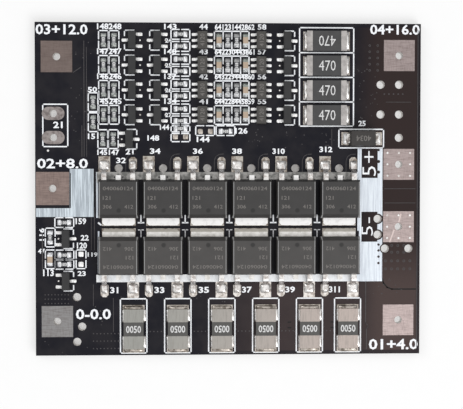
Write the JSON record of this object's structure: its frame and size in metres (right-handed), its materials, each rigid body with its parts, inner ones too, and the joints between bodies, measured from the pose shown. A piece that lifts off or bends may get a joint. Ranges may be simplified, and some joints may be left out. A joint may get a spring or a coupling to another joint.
{
  "type": "battery management board",
  "caption": "Flat rectangular circuit board that protects and balances a battery pack, with rows of power transistors, chip resistors and square copper pads for its wires.",
  "frame": {"origin": "middle of the board's underside", "axes": "+X along the board's long side towards the output pads, +Y towards the edge with the balance resistors, +Z out of the component side"},
  "size_m": [0.062, 0.0534, 0.004],
  "materials": {
    "board": "black solder mask on glass-epoxy laminate",
    "wire_pad": "brushed bare copper",
    "switch_pad": "brushed bare copper",
    "battery_strip": "levelled solder, streaked",
    "output_strip": "levelled solder, streaked",
    "power_case": "moulded epoxy, fine matt",
    "power_tab": "tinned copper",
    "power_lead": "tinned copper",
    "power_land": "levelled solder",
    "balance_body": "coated ceramic",
    "balance_end": "tinned",
    "shunt_coat": "coated metal element",
    "shunt_terminal": "tinned copper",
    "diode_case": "moulded epoxy",
    "diode_terminal": "tinned copper",
    "monitor_case": "moulded epoxy",
    "monitor_lead": "tinned",
    "transistor_case": "moulded epoxy",
    "transistor_lead": "tinned",
    "chip_resistor": "glazed ceramic",
    "chip_resistor_end": "tinned",
    "chip_capacitor": "tan ceramic",
    "chip_capacitor_end": "tinned",
    "component_land": "levelled solder"
  },
  "bodies": {
    "root": {"balance_resistor_1": "balance_body", "balance_resistor_2": "balance_body", "balance_resistor_3": "balance_body", "balance_resistor_4": "balance_body", "balance_resistor_ends": "balance_end", "battery_strip": "battery_strip", "chip_capacitor_bodies": "chip_capacitor", "chip_capacitor_ends": "chip_capacitor_end", "chip_resistor_bodies": "chip_resistor", "chip_resistor_ends": "chip_resistor_end", "component_lands": "component_land", "diode_case": "diode_case", "diode_terminals": "diode_terminal", "monitor_cases": "monitor_case", "monitor_leads": "monitor_lead", "mosfet_case_01": "power_case", "mosfet_case_02": "power_case", "mosfet_case_03": "power_case", "mosfet_case_04": "power_case", "mosfet_case_05": "power_case", "mosfet_case_06": "power_case", "mosfet_case_07": "power_case", "mosfet_case_08": "power_case", "mosfet_case_09": "power_case", "mosfet_case_10": "power_case", "mosfet_case_11": "power_case", "mosfet_case_12": "power_case", "mosfet_lands": "power_land", "mosfet_leads": "power_lead", "mosfet_tab_01": "power_tab", "mosfet_tab_02": "power_tab", "mosfet_tab_03": "power_tab", "mosfet_tab_04": "power_tab", "mosfet_tab_05": "power_tab", "mosfet_tab_06": "power_tab", "mosfet_tab_07": "power_tab", "mosfet_tab_08": "power_tab", "mosfet_tab_09": "power_tab", "mosfet_tab_10": "power_tab", "mosfet_tab_11": "power_tab", "mosfet_tab_12": "power_tab", "output_strip": "output_strip", "pcb": "board", "shunt_body_1": "shunt_coat", "shunt_body_2": "shunt_coat", "shunt_body_3": "shunt_coat", "shunt_body_4": "shunt_coat", "shunt_body_5": "shunt_coat", "shunt_body_6": "shunt_coat", "shunt_terminals": "shunt_terminal", "switch_pads": "switch_pad", "transistor_cases": "transistor_case", "transistor_leads": "transistor_lead", "wire_pads": "wire_pad"}
  },
  "joints": []
}
